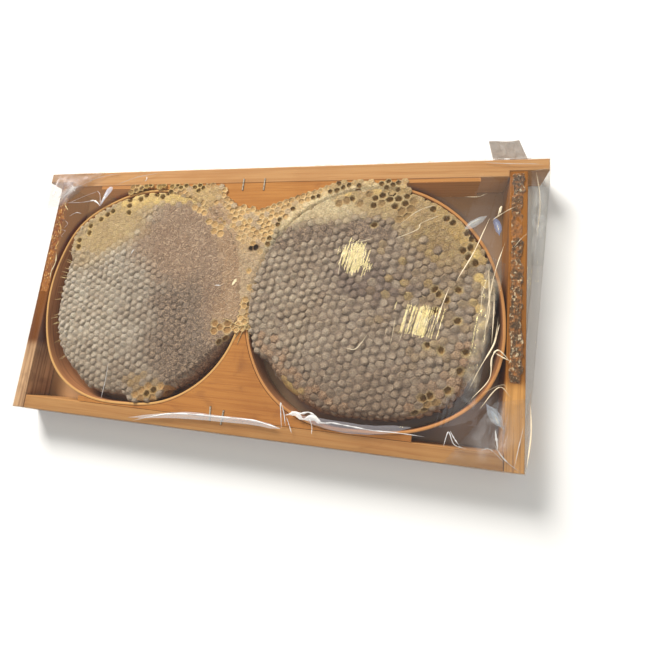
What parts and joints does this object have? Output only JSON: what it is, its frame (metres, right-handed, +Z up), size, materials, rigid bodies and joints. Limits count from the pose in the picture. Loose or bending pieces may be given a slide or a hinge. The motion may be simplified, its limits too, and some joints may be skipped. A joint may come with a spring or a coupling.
{
  "type": "comb honey in a wooden hive frame",
  "caption": "Round wooden hoops of capped honeycomb held side by side in a flat wooden hive frame with curved filler boards, wrapped in clear film.",
  "frame": {"origin": "on the film's underside, below the middle of the frame without its lugs", "axes": "+X along the top bar, +Y from the bottom bar to the top bar, +Z up out of the comb's front face"},
  "size_m": [0.464, 0.252, 0.0281],
  "materials": {
    "pine": "planed pine, honey stained",
    "end_bar": "pine with dark propolis",
    "filler_board": "orange-brown board, stained",
    "hoop": "bentwood, smooth",
    "capped_comb": "wax cappings, satin",
    "open_comb": "fresh wax, satin",
    "staple_wire": "dull steel",
    "film": "clear wrapping film, wrinkled"
  },
  "bodies": {
    "root": {"top_bar": "pine", "bottom_bar": "pine", "end_bar_left": "end_bar", "end_bar_right": "end_bar", "filler_top": "filler_board", "filler_bottom": "filler_board", "hoop_left": "hoop", "hoop_right": "hoop", "comb_left": "capped_comb", "comb_right": "capped_comb", "comb_bridge": "open_comb", "staple_top_left": "staple_wire", "staple_top_right": "staple_wire", "staple_bottom_left": "staple_wire", "staple_bottom_right": "staple_wire", "film_top": "film", "film_bottom": "film"}
  },
  "joints": []
}
